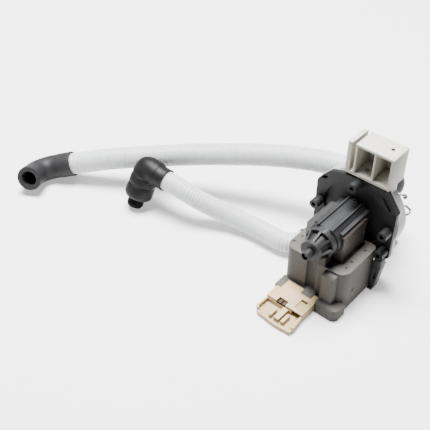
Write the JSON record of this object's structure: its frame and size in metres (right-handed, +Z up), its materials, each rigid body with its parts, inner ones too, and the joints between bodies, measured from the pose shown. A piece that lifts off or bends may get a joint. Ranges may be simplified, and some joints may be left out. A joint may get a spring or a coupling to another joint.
{
  "type": "circulation pump",
  "caption": "Synchronous circulation pump: coil block, ribbed rotor canister on its plate, volute with bracket, plug socket, and two ribbed hoses with rubber elbows.",
  "frame": {"origin": "on the ground under the rotor axis, in the plane of the coil block's front face", "axes": "+X to the right seen from the nose, +Y along the rotor axis from the nose to the inlet, +Z up from the base"},
  "size_m": [0.3089, 0.1717, 0.1167],
  "materials": {
    "block_plastic": "satin moulded, warm grey",
    "core_steel": "stacked laminations",
    "bobbin_plastic": "plain",
    "winding_copper": "enamelled wire",
    "connector_plastic": "satin, cream",
    "terminal_brass": "tarnished",
    "canister_plastic": "satin, slate grey",
    "bearing_carbon": "polished bore",
    "inner_rubber": "matte",
    "cover_plastic": "plain",
    "shaft_steel": "ground",
    "magnet_ferrite": "sintered",
    "washer_plastic": "plain",
    "impeller_plastic": "plain",
    "housing_plastic": "satin, cool white",
    "bracket_plastic": "satin, ivory",
    "screw_steel": "zinc plated",
    "clip_plastic": "satin",
    "clamp_steel": "spring wire",
    "hose_plastic": "translucent, thin wall",
    "elbow_rubber": "satin",
    "boot_rubber": "matte",
    "spigot_plastic": "plain"
  },
  "bodies": {
    "pump": {"coil_block": "block_plastic", "stator_core": "core_steel", "bobbin_left": "bobbin_plastic", "bobbin_right": "bobbin_plastic", "coil_left": "winding_copper", "coil_right": "winding_copper", "connector_housing": "connector_plastic", "terminal_left": "terminal_brass", "terminal_right": "terminal_brass", "rotor_canister": "canister_plastic", "front_bearing_cup": "inner_rubber", "front_bearing": "bearing_carbon", "rear_bearing": "bearing_carbon", "rear_bearing_cup": "inner_rubber", "bearing_cover": "cover_plastic", "cover_o_ring": "inner_rubber", "pump_housing": "housing_plastic", "plate_seal": "inner_rubber", "housing_screws": "screw_steel", "mounting_bracket": "bracket_plastic", "coil_clip": "clip_plastic", "inlet_elbow": "elbow_rubber", "inlet_clamp": "clamp_steel", "inlet_hose": "hose_plastic", "inlet_end_elbow": "elbow_rubber", "outlet_elbow": "elbow_rubber", "outlet_hose": "hose_plastic", "outlet_boot": "boot_rubber", "outlet_spigot": "spigot_plastic"},
    "rotor": {"shaft": "shaft_steel", "thrust_washer": "washer_plastic", "rotor_hub": "washer_plastic", "rotor_magnet": "magnet_ferrite", "drive_dog": "washer_plastic", "impeller_cap": "washer_plastic"},
    "impeller": {"impeller": "impeller_plastic"}
  },
  "joints": [
    {"name": "rotor_spin", "type": "hinge", "parent": "pump", "child": "rotor", "pos_m": [0, 0.02, 0.0565], "axis": [0, 1, 0], "continuous": true},
    {"name": "impeller_clutch", "type": "hinge", "parent": "rotor", "child": "impeller", "pos_m": [0, 0.053, 0.0565], "axis": [0, 1, 0], "range_deg": [-125, 125]}
  ]
}
